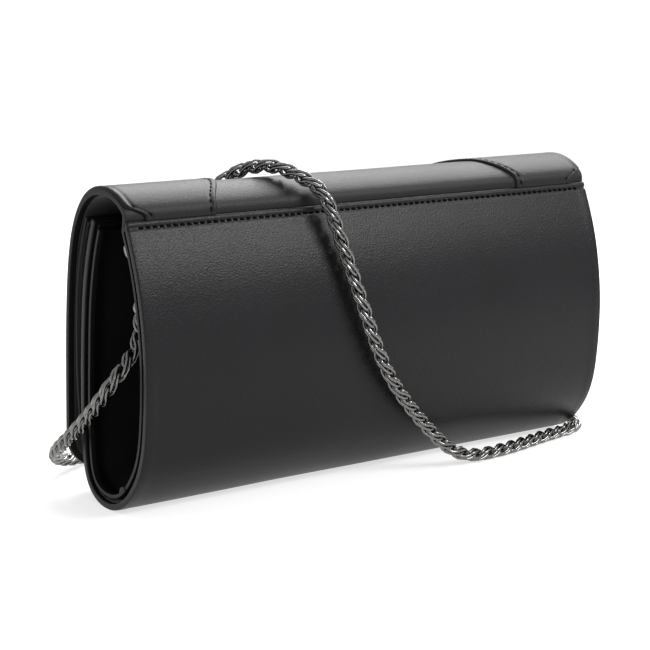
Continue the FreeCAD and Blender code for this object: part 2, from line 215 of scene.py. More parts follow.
BACK_RUN = [(31.6, 33, 123.5), (29.5, 35.7, 113.9), (26.6, 38.5, 102), (23.2, 40.8, 89.5),
            (19, 42.1, 76.5), (14, 42.4, 64), (7.6, 42, 52), (-0.5, 40.9, 41.5), (-9.5, 39.7, 31.5),
            (-19, 38.5, 22.2), (-28.5, 37.6, 13.6), (-38.5, 37.1, 6.6), (-50, 37.2, FLOOR),
            (-63, 37, FLOOR), (-77, 35, FLOOR), (-91, 31.8, FLOOR), (-104, 28.5, FLOOR),
            (-116, 26.5, FLOOR)]
LEFT_STRAND = [(-116, 26.5, FLOOR), (-128, 24.5, FLOOR), (-136.8, 17.9, FLOOR),
               (-141.5, 7.9, FLOOR), (-142.6, -3.5, FLOOR), (-143, -17, FLOOR),
               (-144.5, -33, FLOOR), (-146, -50, FLOOR), (-146.3, -66.5, FLOOR),
               (-143.2, -78.5, FLOOR), (-134.7, -87.2, FLOOR), (-123, -90.3, FLOOR),
               (-111.3, -87.2, FLOOR), (-102.8, -78.6, FLOOR), (-99.7, -66.9, FLOOR),
               (-103, -55.4, FLOOR), (-111.4, -47.2, FLOOR + 0.6), (-122, -42.6, 6.3),
               (-131.8, -37.6, 10.4), (-138, -29.2, 17), (-140, -18.4, 25.4), (-139.8, -7.2, 34.6),
               (-139.2, 3.8, 44.2), (-136.4, 12, 54.4), (-130.8, 15.6, 64.4), (-125, 15.4, 73),
               (-121.5, 14, 80.8), (-121, 13.5, 87)]


def spline_points(name, route):
    """Points along the route's NURBS spline, in metres."""
    curve = bpy.data.curves.new(name + "_route", "CURVE")
    curve.dimensions = "3D"
    curve.resolution_u = 16
    spline = curve.splines.new("NURBS")
    spline.points.add(len(route) - 1)
    for point, place in zip(spline.points, route):
        point.co = (*(Vector(place) * MM), 1.0)
    spline.order_u = 3
    spline.use_endpoint_u = True
    holder = bpy.data.objects.new(name + "_route", curve)
    scene.collection.objects.link(holder)
    mesh = bpy.data.meshes.new_from_object(holder)
    points = [v.co.copy() for v in mesh.vertices]
    bpy.data.objects.remove(holder)
    bpy.data.meshes.remove(mesh)
    return points


class Path:
    """A line in space that can be read at any distance along it, with a frame that doesn't twist."""

    def __init__(self, points):
        self.points = points
        self.reach = [0.0]
        for a, b in zip(points, points[1:]):
            self.reach.append(self.reach[-1] + (b - a).length)
        self.length = self.reach[-1]
        self.tangents = []
        for i in range(len(points)):
            ahead = points[min(i + 1, len(points) - 1)] - points[max(i - 1, 0)]
            self.tangents.append(ahead.normalized())
        side = self.tangents[0].orthogonal().normalized()
        self.sides = [side]
        for a, b in zip(self.tangents, self.tangents[1:]):
            side = a.rotation_difference(b) @ side
            side = (side - b * side.dot(b)).normalized()
            self.sides.append(side)

    def at(self, distance):
        """Place, tangent and side vector; past either end the line goes on straight."""
        if distance <= 0:
            return self.points[0] + self.tangents[0] * distance, self.tangents[0], self.sides[0]
        if distance >= self.length:
            over = distance - self.length
            return self.points[-1] + self.tangents[-1] * over, self.tangents[-1], self.sides[-1]
        low, high = 0, len(self.reach) - 1
        while high - low > 1:
            middle = (low + high) // 2
            if self.reach[middle] <= distance:
                low = middle
            else:
                high = middle
        t = (distance - self.reach[low]) / (self.reach[high] - self.reach[low])
        place = self.points[low].lerp(self.points[high], t)
        tangent = self.tangents[low].lerp(self.tangents[high], t).normalized()
        side = self.sides[low].lerp(self.sides[high], t)
        side = (side - tangent * side.dot(tangent)).normalized()
        return place, tangent, side


# One quarter of a link's wire: across (the way its two arms spread), beside, and along the chain.
LINK_QUARTER = [(0.0, 0.52, 0.0), (1.15, 0.52, 0.4), (2.0, 0.62, 1.75), (2.48, 0.85, 3.6),
                (2.48, 1.1, 5.65), (2.1, 1.1, 7.4), (1.7, 0.72, 9.0), (1.55, 0.0, 9.65)]
LINK_HALF = 9.6               # along the chain, from a link's fold to its two ends
LINK_LAP = 2.4                # how far a link reaches back into the one before
LINK_WIRE = 0.72              # the wire's radius
LINK_TWIST = math.radians(-105)
LINK_JITTER = 3.0             # degrees either way
LINK_SAMPLES = 30
LINK_SIDES = 6
LINK_MIDDLE = 0.6             # the place in a pitch that the wire's sides are turned away from


def link_wire():
    """The closed line of one link, smoothed through its points."""
    quarter = LINK_QUARTER
    arm = quarter + [(a, -b, c) for a, b, c in reversed(quarter[:-1])]
    loop = arm[:-1] + [(-a, -b, c) for a, b, c in arm[:-1]]
    knots = [Vector(p) for p in loop]
    count = len(knots)
    samples = []
    for i in range(LINK_SAMPLES):
        u = i * count / LINK_SAMPLES
        k = int(u)
        t = u - k
        p0, p1, p2, p3 = (knots[(k + d) % count] for d in (-1, 0, 1, 2))
        samples.append(0.5 * (2 * p1 + (p2 - p0) * t + (2 * p0 - 5 * p1 + 4 * p2 - p3) * t * t
                              + (3 * p1 - p0 - 3 * p2 + p3) * t * t * t))
    return samples


LINK_LINE = link_wire()


def chain_mesh(name, path, rng):
    """Wheat-link chain along a path: each link folded in two, a quarter turn from the last."""
    count = max(2, round(path.length / MM / LINK_PITCH))
    pitch = path.length / count
    scale = pitch / (LINK_PITCH * MM)
    points, faces = [], []
    for k in range(count):
        jitter = math.radians(rng.uniform(-LINK_JITTER, LINK_JITTER))
        turn = math.radians(45) + k * math.pi / 2 + jitter
        line = []
        for across, beside, along in LINK_LINE:
            distance = k * pitch + (along - LINK_LAP) * scale * MM
            place, tangent, side = path.at(distance)
            third = tangent.cross(side)
            angle = turn + LINK_TWIST * (along / LINK_HALF - 0.5)
            cos, sin = math.cos(angle), math.sin(angle)
            x = (across * cos - beside * sin) * MM
            y = (across * sin + beside * cos) * MM
            line.append(place + side * x + third * y)
        first = len(points)
        middle = path.at((k + LINK_MIDDLE) * pitch)[0]
        for i in range(LINK_SAMPLES):
            ahead = (line[(i + 1) % LINK_SAMPLES] - line[i - 1]).normalized()
            one = steady_side(ahead, line[i] - middle)
            two = ahead.cross(one)
            for j in range(LINK_SIDES):
                angle = 2 * math.pi * j / LINK_SIDES
                points.append(line[i] + (one * math.cos(angle) + two * math.sin(angle))
                              * LINK_WIRE * MM)
        for i in range(LINK_SAMPLES):
            here = first + i * LINK_SIDES
            ahead = first + (i + 1) % LINK_SAMPLES * LINK_SIDES
            for j in range(LINK_SIDES):
                beside = (j + 1) % LINK_SIDES
                faces.append((here + j, here + beside, ahead + beside, ahead + j))
    mesh = bpy.data.meshes.new(name)
    mesh.from_pydata(points, [], faces)
    mesh.update()
    return mesh


def steady_side(ahead, outward):
    """A direction across the wire that changes slowly round a link."""
    side = outward - ahead * outward.dot(ahead)
    if side.length < 1e-6:
        side = ahead.orthogonal()
    return side.normalized()


def gunmetal(name, base, rough_low, rough_high):
    """Dark plated metal with faint smudges and fine scratches."""
    n = Nodes(name)
    smudge = n.noise(900.0, 4.0, 0.6)
    scratches = n.noise(5200.0, 2.0, 0.7)
    colour = n.ramp(smudge, [(0.25, tuple(c * 0.82 for c in base)), (0.75, base)])
    normal = n.bump(scratches, 0.12, 0.00004)
    return n.finish(colour, n.mix(smudge, rough_low, rough_high), normal, Metallic=1.0)


chain_metal = gunmetal("chain_metal", (0.19, 0.186, 0.182), 0.08, 0.18)


def make_chain():
    """Four stretches of one chain, end to end."""
    rng = random.Random(11)
    stretches = {
        "chain_right_strand_links": (RIGHT_STRAND, ["chain_right_strand"]),
        "chain_front_slack_links": (FRONT_SLACK, ["chain_front_slack"]),
        "chain_over_links": (FLAP_RUN[:-1] + HINGE_FOLD[1:-1] + BACK_RUN[1:],
                             ["chain_flap_run", "chain_hinge_fold", "chain_back_run"]),
        "chain_left_strand_links": (LEFT_STRAND, ["chain_left_strand"]),
    }
    made = {}
    for name, (route, nodes) in stretches.items():
        points = spline_points(name, route)
        path = Path(points)
        mesh = chain_mesh(name, path, rng)
        piece = add_object(name, mesh, chain_metal, body=None)
        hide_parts(*nodes)
        tuple(points[0])
        [tuple(p) for p in points]
        made[name] = piece
    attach(made["chain_right_strand_links"], "root")
    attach(made["chain_left_strand_links"], "root")
    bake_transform(made["chain_front_slack_links"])
    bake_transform(made["chain_over_links"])


make_chain()


# ------------------------------------------------------------------ profiles
class Profile:
    """A smooth line along the Y, Z corners of a layer, read by the distance along it.

    The bag's inside is on its left; depth counts that way.
    """

    def __init__(self, corners):
        corners = [Vector(c) for c in corners]
        middles = [(a + b) / 2 for a, b in zip(corners[1:-2], corners[2:-1])]
        ends = [corners[0]] + middles + [corners[-1]]
        self.points = []
        for a, b, c in zip(ends, corners[1:-1], ends[1:]):
            for k in range(24):
                t = k / 24
                self.points.append(a * (1 - t) ** 2 + b * 2 * t * (1 - t) + c * t * t)
        self.points.append(corners[-1])
        self.reach = [0.0]
        for a, b in zip(self.points, self.points[1:]):
            self.reach.append(self.reach[-1] + (b - a).length)
        self.length = self.reach[-1]

    def at(self, s, depth=0.0):
        i = min(max(bisect.bisect_right(self.reach, s) - 1, 0), len(self.points) - 2)
        low, high = max(i - 3, 0), min(i + 4, len(self.points) - 1)
        step = self.points[i + 1] - self.points[i]
        place = self.points[i] + step * ((s - self.reach[i]) / max(step.length, 1e-9))
        along = (self.points[high] - self.points[low]).normalized()
        return place.x - along.y * depth, place.y + along.x * depth

    def outward(self, s):
        a, b = Vector(self.at(s, 0.0)), Vector(self.at(s, -1.0))
        return Vector((0.0, *(b - a).normalized()))

    def find(self, height, start=0.0):
        """The first distance past start at which the line crosses a height."""
        for i in range(1, len(self.points)):
            low, high = self.points[i - 1].y, self.points[i].y
            if self.reach[i] > start and (low - height) * (high - height) <= 0 and low != high:
                return self.reach[i - 1] + (height - low) / (high - low) * (
                    self.reach[i] - self.reach[i - 1])
        return self.length


wrap_line = Profile(WRAP)
flap_line = Profile(FLAP_LOOK)
pocket_line = Profile(POCKET)
FRONT_LOW = wrap_line.find(30.0)      # low down on the front wall


def ramp(value, low, high):
    """Rises smoothly from 0 at low to 1 at high."""
    t = min(max((value - low) / (high - low), 0.0), 1.0)
    return t * t * (3 - 2 * t)


def bell(value, width):
    """1 at zero, falling away either side."""
    return math.exp(-(value / width) ** 2)


def wobble(a, b, seed, reach=60.0):
    """A soft unevenness over a surface, about -1 to 1; reach is its size in millimetres."""
    return noise.noise(Vector((a / reach, b / reach, seed)))


def spaced(low, high, step, rim=0.0):
    """Even stations from low to high, with one a rim's width in from each end."""
    count = max(2, round((high - low - 2 * rim) / step))
    inner = [low + rim + (high - low - 2 * rim) * k / count for k in range(count + 1)]
    return [low] + inner + [high] if rim else inner


# ------------------------------------------------------------------ sheets
def thick_sheet(name, place, rows, columns, material, body="root", rim=0.5, segments=3,
                hole=None):
    """A closed sheet with rounded edges. place(row, column, side): side 0 is outer, 1 inner."""
    across = len(columns)
    layer = len(rows) * across
    points = [place(r, c, side) for side in (0, 1) for r in rows for c in columns]
    cells = [(i, j) for i in range(len(rows) - 1) for j in range(across - 1)
             if not (hole and hole(rows[i], rows[i + 1], columns[j], columns[j + 1]))]
    faces = []
    count = {}
    for i, j in cells:
        corner = [i * across + j, i * across + j + 1, (i + 1) * across + j + 1,
                  (i + 1) * across + j]
        faces.append(corner)
        faces.append([layer + k for k in reversed(corner)])
        for a, b in zip(corner, corner[1:] + corner[:1]):
            count[(a, b)] = count.get((a, b), 0) + 1
    for a, b in count:
        if (b, a) not in count:
            faces.append((b, a, layer + a, layer + b))
    mesh = make_mesh(name, points, faces)
    return finish_sheet(name, mesh, material, body, rim, segments)


def finish_sheet(name, mesh, material, body, rim, segments, angle=50.0):
    """Rounds a mesh's sharp edges and makes an object of it."""
    work = bmesh.new()
    work.from_mesh(mesh)
    bmesh.ops.remove_doubles(work, verts=work.verts, dist=0.00001)
    bmesh.ops.recalc_face_normals(work, faces=work.faces)
    if rim:
        sharp = [e for e in work.edges if len(e.link_faces) == 2
                 and e.calc_face_angle(0.0) > math.radians(angle)]
        bmesh.ops.bevel(work, geom=sharp, offset=rim * MM, segments=segments, profile=0.5,
                        affect="EDGES", clamp_overlap=True)
    loose = [v for v in work.verts if not v.link_faces]
    bmesh.ops.delete(work, geom=loose, context="VERTS")
    work.to_mesh(mesh)
    work.free()
    return add_object(name, mesh, material, body)


def stitches(name, places, material, body="root", length=2.5, width=0.62):
    """A row of thread stitches; each place is (point, along, up) in millimetres."""
    points, faces = [], []
    sides = 6
    sag = 1.1                 # how far the ends dip into the sheet, in widths
    flatness = 0.84           # height over width
    rings = [(-0.5, 0.25), (-0.42, 0.75), (-0.2, 1.0), (0.2, 1.0), (0.42, 0.75), (0.5, 0.25)]
    for place, along, up in places:
        along, up = along.normalized(), up.normalized()
        beside = along.cross(up)
        first = len(points)
        for reach, size in rings:
            dip = -sag * reach * reach * width
            radius = size * width / 2
            for k in range(sides):
                angle = 2 * math.pi * k / sides
                rise = dip + math.sin(angle) * radius * flatness
                points.append(place + along * reach * length + up * rise
                              + beside * math.cos(angle) * radius)
        for r in range(len(rings) - 1):
            for k in range(sides):
                a, b = first + r * sides + k, first + r * sides + (k + 1) % sides
                faces.append((a, b, b + sides, a + sides))
        last = first + (len(rings) - 1) * sides
        faces.append([first + k for k in reversed(range(sides))])
        faces.append([last + k for k in range(sides)])
    mesh = make_mesh(name, points, faces)
    return add_object(name, mesh, material, body)


# ------------------------------------------------------------------ leather and cloth finishes
def leatherette(name, tint, rough_low, rough_high, grain=0.55, specular=0.18):
    """Coated leather: a fine pebble with creases between, and slightly uneven gloss."""
    n = Nodes(name)
    warp = n.noise(140.0, 2.0, 0.5)
    spread = n.math("MULTIPLY", warp, 0.0011)
    shift = n.new("ShaderNodeVectorMath", operation="ADD")
    n.link(n.place, shift.inputs[0])
    n.link(spread, shift.inputs[1])
    vector = shift.outputs["Vector"]
    pebbles = n.cells(1500.0, "SMOOTH_F1", vector)
    creases = n.cells(2300.0, "F1", vector)
    patches = n.noise(24.0, 3.0, 0.55)
    relief = n.math("ADD", n.math("MULTIPLY", pebbles, 0.7), n.math("MULTIPLY", creases, 0.3))
    colour = n.ramp(patches, [(0.3, tuple(c * 0.8 for c in tint)), (0.7, tint)])
    normal = n.bump(relief, grain, 0.00026)
    rough = n.math("ADD", n.mix(patches, rough_low, rough_high),
                   n.math("MULTIPLY", pebbles, 0.08))
    return n.finish(colour, rough, normal, Specular_IOR_Level=specular)


def cloth(name, tint):
    """A plain diagonal weave with loose threads."""
    n = Nodes(name)
    wave = n.new("ShaderNodeTexWave", wave_type="BANDS", bands_direction="DIAGONAL",
                 Scale=420.0, Distortion=0.4)
    n.link(n.place, wave.inputs["Vector"])
    threads = n.noise(2400.0, 2.0, 0.5)
    relief = n.math("ADD", n.math("MULTIPLY", wave.outputs["Fac"], 0.6),
                    n.math("MULTIPLY", threads, 0.4))
    colour = n.ramp(relief, [(0.2, tuple(c * 0.6 for c in tint)), (0.9, tint)])
    return n.finish(colour, n.mix(threads, 0.7, 0.9), n.bump(relief, 0.5, 0.00012),
                    Sheen_Weight=0.15, Specular_IOR_Level=0.25)


def plain_grain(name, tint, rough, scale, strength, specular=0.3):
    """A flecked matt surface, for thread and board."""
    n = Nodes(name)
    fleck = n.noise(scale, 4.0, 0.6)
    colour = n.ramp(fleck, [(0.3, tuple(c * 0.75 for c in tint)), (0.7, tint)])
    return n.finish(colour, n.mix(fleck, rough - 0.08, rough + 0.08),
                    n.bump(fleck, strength, 0.0001), Specular_IOR_Level=specular)


back_leather = leatherette("back_leather", (0.0042, 0.0043, 0.0052), 0.31, 0.36)
flap_skin = leatherette("flap_skin", (0.0055, 0.0055, 0.0062), 0.42, 0.48)
gusset_skin = leatherette("gusset_skin", (0.0045, 0.0045, 0.005), 0.34, 0.44, 0.25)
# Painted shade: the gusset's folded-in panel is the same leather, made darker and less glossy to
# stand in for the shade in its recess.
gusset_panel_painted_shade = leatherette("gusset_panel_painted_shade", (0.0012, 0.0012, 0.0014), 0.55, 0.65, 0.3, 0.05)
edge_skin = leatherette("edge_skin", (0.0065, 0.0065, 0.0072), 0.36, 0.42, 0.2)
lining_cloth = cloth("lining_weave", (0.020, 0.020, 0.022))
tape_cloth = cloth("tape_weave", (0.012, 0.012, 0.013))
thread = plain_grain("thread", (0.0012, 0.0012, 0.0013), 0.75, 3000.0, 0.3, 0.04)
board_paper = plain_grain("board_paper", (0.03, 0.029, 0.028), 0.8, 900.0, 0.3)


# ------------------------------------------------------------------ the body
WRAP_THICK = 2.9
SEAM_S = wrap_line.length - BACK_SEAM_STITCH
FRONT_SEAM_S = 3.4
SEAM_GROOVE = 0.75
TURNED_SWELL = 0.35           # how far the turned strip above the seam stands out


def body_wrap():
    """Leather over board, from the front's top edge round the bottom to the back seam."""
    w = HALF_WIDTH
    rim = 1.3

    def place(s, x, side):
        if side:
            return (x, *wrap_line.at(s, WRAP_THICK))
        pull = 0.85 + 0.15 * math.cos(2 * math.pi * x / STITCH_PITCH)
        depth = SEAM_GROOVE * bell(s - SEAM_S, 0.65) * pull
        depth -= TURNED_SWELL * bell(s - (wrap_line.length - 1.5), 0.9)
        depth -= 0.08 * bell(s - SEAM_S + 2.2, 1.4)
        depth += 0.35 * bell(s - FRONT_SEAM_S, 0.9)
        ease = min(1.0, (w - abs(x)) / 12.0)
        depth += 0.36 * ease * wobble(x, s, 3.1, 75.0) + 0.06 * ease * wobble(x, s, 8.4, 24.0)
        depth -= 0.16 * bell(w - 3.0 - abs(x), 2.2)
        return (x, *wrap_line.at(s, depth))

    bottom = spaced(5.2, wrap_line.length - 7.0, 1.9)
    top = [wrap_line.length - d for d in (6.2, 5.5, 4.9, 4.4, 3.9, 3.5, 3.1, 2.7, 2.3, 1.9, rim,
                                          0.0)]
    rows = [0.0, rim, 2.2, 2.8, 3.4, 4.0, 4.6] + bottom + top
    columns = spaced(-w, w, 0.85, rim)
    piece = thick_sheet("body_wrap_leather", place, rows, columns, back_leather, rim=1.2,
                        segments=4)
    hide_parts("body_wrap")
    half = int((w - 4) / STITCH_PITCH)
    stations = [k * STITCH_PITCH for k in range(-half, half + 1)]
    rng = random.Random(5)
    y, z = wrap_line.at(SEAM_S, 0.3)
    back = []
    for x in stations:
        lift = rng.uniform(-0.12, 0.12)
        along = Vector((1.0, 0.0, 0.16 + lift * 0.3))
        back.append((Vector((x, y, z + lift)), along, wrap_line.outward(SEAM_S)))
    stitches("back_seam_stitches", back, thread, length=2.9, width=1.25)
    y, z = wrap_line.at(FRONT_SEAM_S, 0.1)
    front = [(Vector((x, y, z)), Vector((1, 0, 0.1)), wrap_line.outward(FRONT_SEAM_S))
             for x in stations]
    stitches("front_edge_stitches", front, thread)


def lining_sheets():
    """Cloth lining low down and leather facings above it, on the inside of the wrap."""
    w = HALF_WIDTH - 2.0
    facing_foot = 106.0
    top, foot = 1.2, wrap_line.find(facing_foot)
    back_foot = wrap_line.find(facing_foot, foot + 60)
    back_top = wrap_line.length - top

    def layer(name, node, s0, s1, material, slot, thick, held="stretched"):
        def place(s, x, side):
            depth = WRAP_THICK + 0.02 + (thick if side else 0.0)
            depth += side * (0.25 + 0.25 * wobble(x, s, 5.0, 30.0))
            return (x, *wrap_line.at(s, depth))
        piece = thick_sheet(name, place, spaced(s0, s1, 2.4, 0.6), spaced(-w, w, 3.0, 0.6),
                            material, rim=0.2, segments=2)
        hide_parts(node)

    layer("lining_cloth_sheet", "body_lining", foot, back_foot, lining_cloth, "lining_cloth", 0.4)
    layer("front_facing_leather", "front_facing", top, foot + 0.3, edge_skin, "body_leather", 0.5)
    layer("back_facing_leather", "back_facing", back_foot - 0.3, back_top, edge_skin,
          "body_leather", 0.5)


# ------------------------------------------------------------------ gussets
GUSSET_EDGE = HALF_WIDTH - 0.8
GUSSET_DEPTH = 5.3            # from the wrap's outside to the gusset's outside
GUSSET_THICK = 1.5
TURNED_EDGE = 6.0             # along X, from the turned edge to the start of the fold
EDGE_SHARE = 0.25             # of the rows, for the turned edge
CREASE = (98.0, 120.0)        # where the fold's crease is in X, high up and at the bottom
CREASE_LIFT = 9.0
MIDDLE = 7.75                 # the bag's middle in Y, where the crease runs


def gusset(side_name, sign):
    """One folded end: its turned edge follows the wrap and the panel folds in to a crease."""
    start, end = 2.5, wrap_line.length - 2.0

    def place(t, s, side):
        y0, z0 = wrap_line.at(s, GUSSET_DEPTH + (GUSSET_THICK if side else 0.0))
        low = ramp(34.0 - z0, 0.0, 30.0)
        crease_x = CREASE[0] + (CREASE[1] - CREASE[0]) * low
        crease_z = z0 + CREASE_LIFT * low
        edge = GUSSET_EDGE + 0.25 * wobble(s, 0.0, 4.0 + sign, 26.0)
        wall_x = edge - TURNED_EDGE
        if t <= EDGE_SHARE:
            u = t / EDGE_SHARE
            x = edge + (wall_x - edge) * u
            y, z = y0, z0
            if side:
                y += (MIDDLE - y0) * 0.008 * ramp(u, 0.45, 1.0)
        else:
            u = (t - EDGE_SHARE) / (1 - EDGE_SHARE)
            bow = math.sin(math.pi * u)
            x = wall_x + (crease_x - wall_x) * u - 2.2 * bow * (1 - low)
            y = y0 + (MIDDLE - y0) * u
            z = z0 + (crease_z - z0) * u
            x += 0.9 * bow * wobble(s, t * 60, 2.0 + sign, 30.0)
            if side:
                x -= 0.6 * u
        return (sign * x, y, z)

    rows = [0.0, 0.045, 0.09, 0.14, 0.19, EDGE_SHARE]
    rows += [EDGE_SHARE + (1 - EDGE_SHARE) * k / 16 for k in range(1, 17)]
    columns = spaced(start, end, 2.2, 1.0)
    piece = thick_sheet("gusset_" + side_name + "_leather", place, rows, columns, gusset_skin,
                        rim=0.72, segments=4)
    # The folded-in panel's faces take the painted-shade copy of the leather; the turned edge keeps
    # the plain one.
    piece.data.materials.append(gusset_panel_painted_shade)
    for polygon in piece.data.polygons:
        polygon.material_index = int(abs(polygon.center.x) < (GUSSET_EDGE - 2.6) * MM)
    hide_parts("gusset_" + side_name)

    def seam(s, x, side):
        return (sign * x, *wrap_line.at(s, 5.35 if side else 2.95))
    thick_sheet("gusset_seam_" + side_name, seam, spaced(4.0, wrap_line.length - 4, 3.0),
                        [112.0, 118.0, 125.0], gusset_skin, rim=0.0)
    tuck(side_name, sign)


def tuck(side_name, sign):
    """The end of the edge binding, lapped over itself at the bottom of the gusset."""
    middle = wrap_line.find(7.2, FRONT_LOW + 30)
    low, high = middle - 5.5, middle + 1.0

    def place(s, x, side):
        swell = math.sin(math.pi * min(max((s - low) / (high - low), 0.0), 1.0)) ** 0.5
        depth = 5.1 if not side else 7.0 + 1.3 * swell
        return (sign * x, *wrap_line.at(s, depth))
    piece = thick_sheet("gusset_tuck_" + side_name, place, spaced(low, high, 0.6, 0.5),
                        [GUSSET_EDGE - 12.0, GUSSET_EDGE - 6.0, GUSSET_EDGE - 1.1,
                         GUSSET_EDGE + 0.45], gusset_skin, rim=0.65, segments=4)


# ------------------------------------------------------------------ front pocket
def front_pocket():
    w = HALF_WIDTH - 1.5

    def place(s, x, side):
        depth = 1.5 if side else 0.25 * wobble(x, s, 9.0, 50.0)
        depth += 0.3 * bell(s - 3.2, 0.8) * (0 if side else 1)
        return (x, *pocket_line.at(s, depth))
    piece = thick_sheet("front_pocket_leather", place, spaced(0.0, pocket_line.length, 1.6, 0.8),
                        spaced(-w, w, 2.2, 0.8), edge_skin, rim=0.65, segments=3)
    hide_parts("front_pocket_panel")

    def lining(s, x, side):
        return (x, *pocket_line.at(s, 2.1 if side else 1.45))
    piece = thick_sheet("front_pocket_lining", lining,
                        spaced(2.0, pocket_line.length - 6, 3.0, 0.5),
                        spaced(1 - w, w - 1, 4.0, 0.5), lining_cloth, rim=0.2, segments=2)

    for side_name, sign in (("right", 1), ("left", -1)):
        def fold(z, t, side):
            wall = wrap_line.at(wrap_line.find(z), -0.3)[0]
            panel = pocket_line.at(pocket_line.find(z), 2.0)[0]
            y = panel + (wall - panel) * t
            depth = 1.0 - abs(2 * t - 1)
            x = w - 0.4 - 7.5 * depth - (0.8 if side else 0.0)
            return (sign * x, y, z)
        heights = [26.0, 27.0] + [28.0 + k * 4.0 for k in range(24)] + [123.0, 124.0]
        stations = [0.0, 0.12, 0.3, 0.5, 0.7, 0.88, 1.0]
        piece = thick_sheet("front_pocket_fold_" + side_name, fold, heights, stations,
                            gusset_skin, rim=0.25, segments=2)
        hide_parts("front_pocket_gusset_" + side_name)


# ------------------------------------------------------------------ inner pockets
def pocket_panels():
    """Zip pocket on the back wall and slip pocket in front, sewn to the lining round the edge."""
    half = 96.0

    def wall_y(z, back):
        s = wrap_line.find(z, wrap_line.length / 2 if back else 0.0)
        return wrap_line.at(s, WRAP_THICK + 0.75)[0]

    def eased(x, z, low, high, standing, back, open_top):
        sides = ramp(half - abs(x), 0.0, 9.0)
        foot = ramp(z - low, 0.0, 12.0)
        top = 1.0 if open_top else ramp(high - z, 0.0, 6.0)
        share = sides * foot * top
        wall = wall_y(z, back)
        return wall + (standing - wall) * share

    def zip_place(z, x, side):
        y = eased(x, z, 28.0, 110.5, ZIP_PANEL_Y + 0.1, True, False)
        y += 0.35 * wobble(x, z, 6.0, 28.0) * ramp(abs(z - 100.0), 5.0, 14.0)
        return (x, y + (0.6 if side else 0.0), z)

    rows = spaced(28.0, 95.5, 2.5, 0.8) + [97.0, 100.0, 103.0] + spaced(104.5, 110.5, 1.5, 0.8)
    columns = (spaced(-half, -70.0, 2.6, 0.8) + [-69.0 + k * 3.0 for k in range(47)]
               + spaced(70.0, half, 2.6, 0.8))
    piece = thick_sheet(
        "zip_pocket_cloth", zip_place, rows, columns, lining_cloth, rim=0.2, segments=2,
        hole=lambda z0, z1, x0, x1: z0 >= 95.4 and z1 <= 104.6 and x0 >= -70.1 and x1 <= 70.1)
    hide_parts("zip_pocket_panel")

    def slip_place(z, x, side):
        y = eased(x, z, 30.0, 84.0, -11.3, False, True)
        y += 0.4 * wobble(x, z, 7.0, 26.0)
        return (x, y + (0.6 if side else 0.0), z)
    piece = thick_sheet("slip_pocket_cloth", slip_place, spaced(30.0, 84.0, 2.0, 0.8),
                        spaced(-half, half, 2.6, 0.8), lining_cloth, rim=0.2, segments=2)
    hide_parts("slip_pocket_panel")

    tapes = []
    for low in (94.0, 101.9):
        def tape(z, x, side):
            return (x, ZIP_PANEL_Y + (1.35 if side else 0.85), z)
        tapes.append(thick_sheet("zip_tape_%d" % low, tape, [low, low + 0.5, low + 3.6, low + 4.1],
                                 spaced(-74.0, 74.0, 4.0, 0.5), tape_cloth, rim=0.15,
                                 segments=2))
    for piece in tapes:
        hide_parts("zip_tapes")
    row = []
    for z in (106.4, 93.6):
        for k in range(-25, 26):
            row.append((Vector((k * 2.9, ZIP_PANEL_Y, z)), Vector((1, 0, 0)),
                        Vector((0, -1, 0))))
    stitches("zip_stitches", row, thread, length=2.0, width=0.4)


# ------------------------------------------------------------------ the flap
FLAP_THICK = 2.5
FLAP_CORNER = 16.0            # radius of the free corners
CORNER_STEPS = 14
SEAM_TOP = flap_line.find(131.2)      # just above the seam to the back
RIDGE_S = flap_line.find(141.0) + 6.0


def bend_with_flap(piece):
    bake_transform(piece)


def flap_half_width(s, inset=0.0):
    """Half the flap's width at a distance along it; the free corners are round."""
    radius = FLAP_CORNER - inset
    past = s - (flap_line.length - inset - radius)
    half = HALF_WIDTH - inset
    if past <= 0:
        return half
    return half - radius + math.sqrt(max(radius * radius - past * past, 0.0))


def flap_rows(s0, s1, step, inset=0.0):
    """Stations along the flap, closer together round the free corners."""
    radius = FLAP_CORNER - inset
    straight = spaced(s0, s1 - radius, step)
    turn = [s1 - radius + radius * math.sin(math.pi / 2 * k / CORNER_STEPS)
            for k in range(1, CORNER_STEPS)]
    return [s0, s0 + 1.0] + straight[1:] + [t for t in turn if t < s1 - 1.3] + [s1 - 0.95, s1]


def flap():
    end = flap_line.length

    def place(s, u, side):
        x = u * flap_half_width(min(s, end))
        ease = min(1.0, (1.0 - abs(u)) * 12)
        depth = FLAP_THICK if side else 0.3 * ease * wobble(x, s, 12.0, 60.0)
        return (x, *flap_line.at(s, depth))
    columns = [-1.0, -0.99] + [k / 70 for k in range(-69, 70)] + [0.99, 1.0]
    piece = thick_sheet("flap_leather_sheet", place, flap_rows(0.0, end, 1.8), columns,
                        flap_skin, body=None, rim=0.9, segments=4)
    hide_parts("flap_leather", "flap_hinge_strip", "flap_board")
    bend_with_flap(piece)

    start = flap_line.find(136.0)
    margin = 3.0

    def lining(s, u, side):
        x = u * flap_half_width(min(s, end - margin), margin)
        depth = FLAP_THICK + (0.5 if side else -0.05)
        return (x, *flap_line.at(s, depth))
    piece = thick_sheet("flap_lining_sheet", lining, flap_rows(start, end - margin, 3.0, margin),
                        columns, lining_cloth, body=None, rim=0.2, segments=2)
    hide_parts("flap_lining")
    bend_with_flap(piece)


OVERLAY_THICK = 1.35
OVERLAY_EDGE = 1.2            # how far in from its edges an overlay reaches full thickness
OVERLAY_STITCH = 3.2          # from its edges to the stitching
INNER_AT_SEAM, INNER_AT_RIDGE = 87.0, 76.0
OUTER_EDGE = HALF_WIDTH - 0.25
SLANT_TOP = 126.0             # height at which the edges start to slant down the front
SLANT_FALL = 121.0            # from there to the flap's free end
INNER_SHIFT, OUTER_SHIFT = 92.0, 100.0


